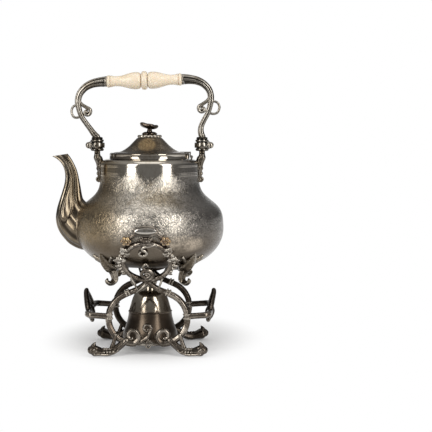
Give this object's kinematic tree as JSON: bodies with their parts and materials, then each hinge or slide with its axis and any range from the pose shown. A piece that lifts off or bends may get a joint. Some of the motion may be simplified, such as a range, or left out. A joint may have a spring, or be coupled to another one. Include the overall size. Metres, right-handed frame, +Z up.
{
  "type": "spirit kettle on stand",
  "caption": "Silver-plated tea kettle with hinged lid, fluted spout and swinging bail, resting in a cast scroll stand above a lift-out spirit lamp.",
  "frame": {"origin": "on the table, under the kettle's axis, at the middle of the four stand feet", "axes": "+Z up, along the kettle's axis; the spout points to -X, the lid's hinge is at +X, +Y is to the back"},
  "size_m": [0.24, 0.2266, 0.389],
  "materials": {
    "silver_plate": "polished silver plate, tarnished warm grey-brown, engraved",
    "cast_silver": "cast and plated, darker tarnish in the hollows",
    "gilt_silver": "worn gilding over silver plate",
    "grip_ivory": "turned and polished, the colour of old ivory",
    "wick": "braided cotton"
  },
  "bodies": {
    "stand": {"front_scrolls": "cast_silver", "back_scrolls": "cast_silver", "front_boss": "cast_silver", "back_boss": "cast_silver", "front_cradle": "cast_silver", "back_cradle": "cast_silver", "front_vines": "cast_silver", "back_vines": "cast_silver", "front_grapes": "gilt_silver", "back_grapes": "gilt_silver", "front_palmette": "cast_silver", "back_palmette": "cast_silver", "front_tendrils": "cast_silver", "back_tendrils": "cast_silver", "stand_foot_1": "cast_silver", "stand_foot_2": "cast_silver", "stand_foot_3": "cast_silver", "stand_foot_4": "cast_silver", "side_handle_left": "cast_silver", "side_handle_right": "cast_silver", "bar_collars": "cast_silver", "lamp_ring": "cast_silver"},
    "kettle": {"kettle_body": "silver_plate", "kettle_bottom": "silver_plate", "mouth_ring": "silver_plate", "spout": "silver_plate", "spout_root": "silver_plate", "spout_strainer": "silver_plate", "kettle_foot_1": "silver_plate", "kettle_foot_2": "silver_plate", "kettle_foot_3": "silver_plate", "kettle_foot_4": "silver_plate", "left_lug": "silver_plate", "right_lug": "silver_plate", "lid_knuckles": "silver_plate", "lid_pin": "silver_plate"},
    "lid": {"lid_rim": "silver_plate", "lid_dome": "silver_plate", "lid_collar": "silver_plate", "lid_calyx": "silver_plate", "finial": "silver_plate", "finial_nut": "silver_plate", "lid_leaf": "silver_plate"},
    "bail": {"bail_arm_left": "silver_plate", "bail_arm_right": "silver_plate", "bail_knots_left": "silver_plate", "bail_knots_right": "silver_plate", "pivot_pin_left": "silver_plate", "pivot_pin_right": "silver_plate", "grip_rod": "silver_plate", "grip_ferrules": "silver_plate", "grip_barrel_left": "grip_ivory", "grip_barrel_right": "grip_ivory", "grip_bead": "grip_ivory"},
    "lamp": {"lamp_reservoir": "silver_plate", "lamp_foot": "silver_plate", "lamp_collar": "silver_plate", "wick_tube": "silver_plate", "wick": "wick"}
  },
  "joints": [
    {"name": "kettle_lift", "type": "slide", "parent": "stand", "child": "kettle", "axis": [0, 0, 1], "range_m": [0, 0.09]},
    {"name": "bail_swing", "type": "hinge", "parent": "kettle", "child": "bail", "pos_m": [0, 0, 0.286], "axis": [1, 0, 0], "range_deg": [-95, 95]},
    {"name": "lid_hinge", "type": "hinge", "parent": "kettle", "child": "lid", "pos_m": [0.0586, 0, 0.27], "axis": [0, 1, 0], "range_deg": [0, 48]},
    {"name": "lamp_lift", "type": "slide", "parent": "stand", "child": "lamp", "axis": [0, 0, 1], "range_m": [0, 0.018]}
  ]
}
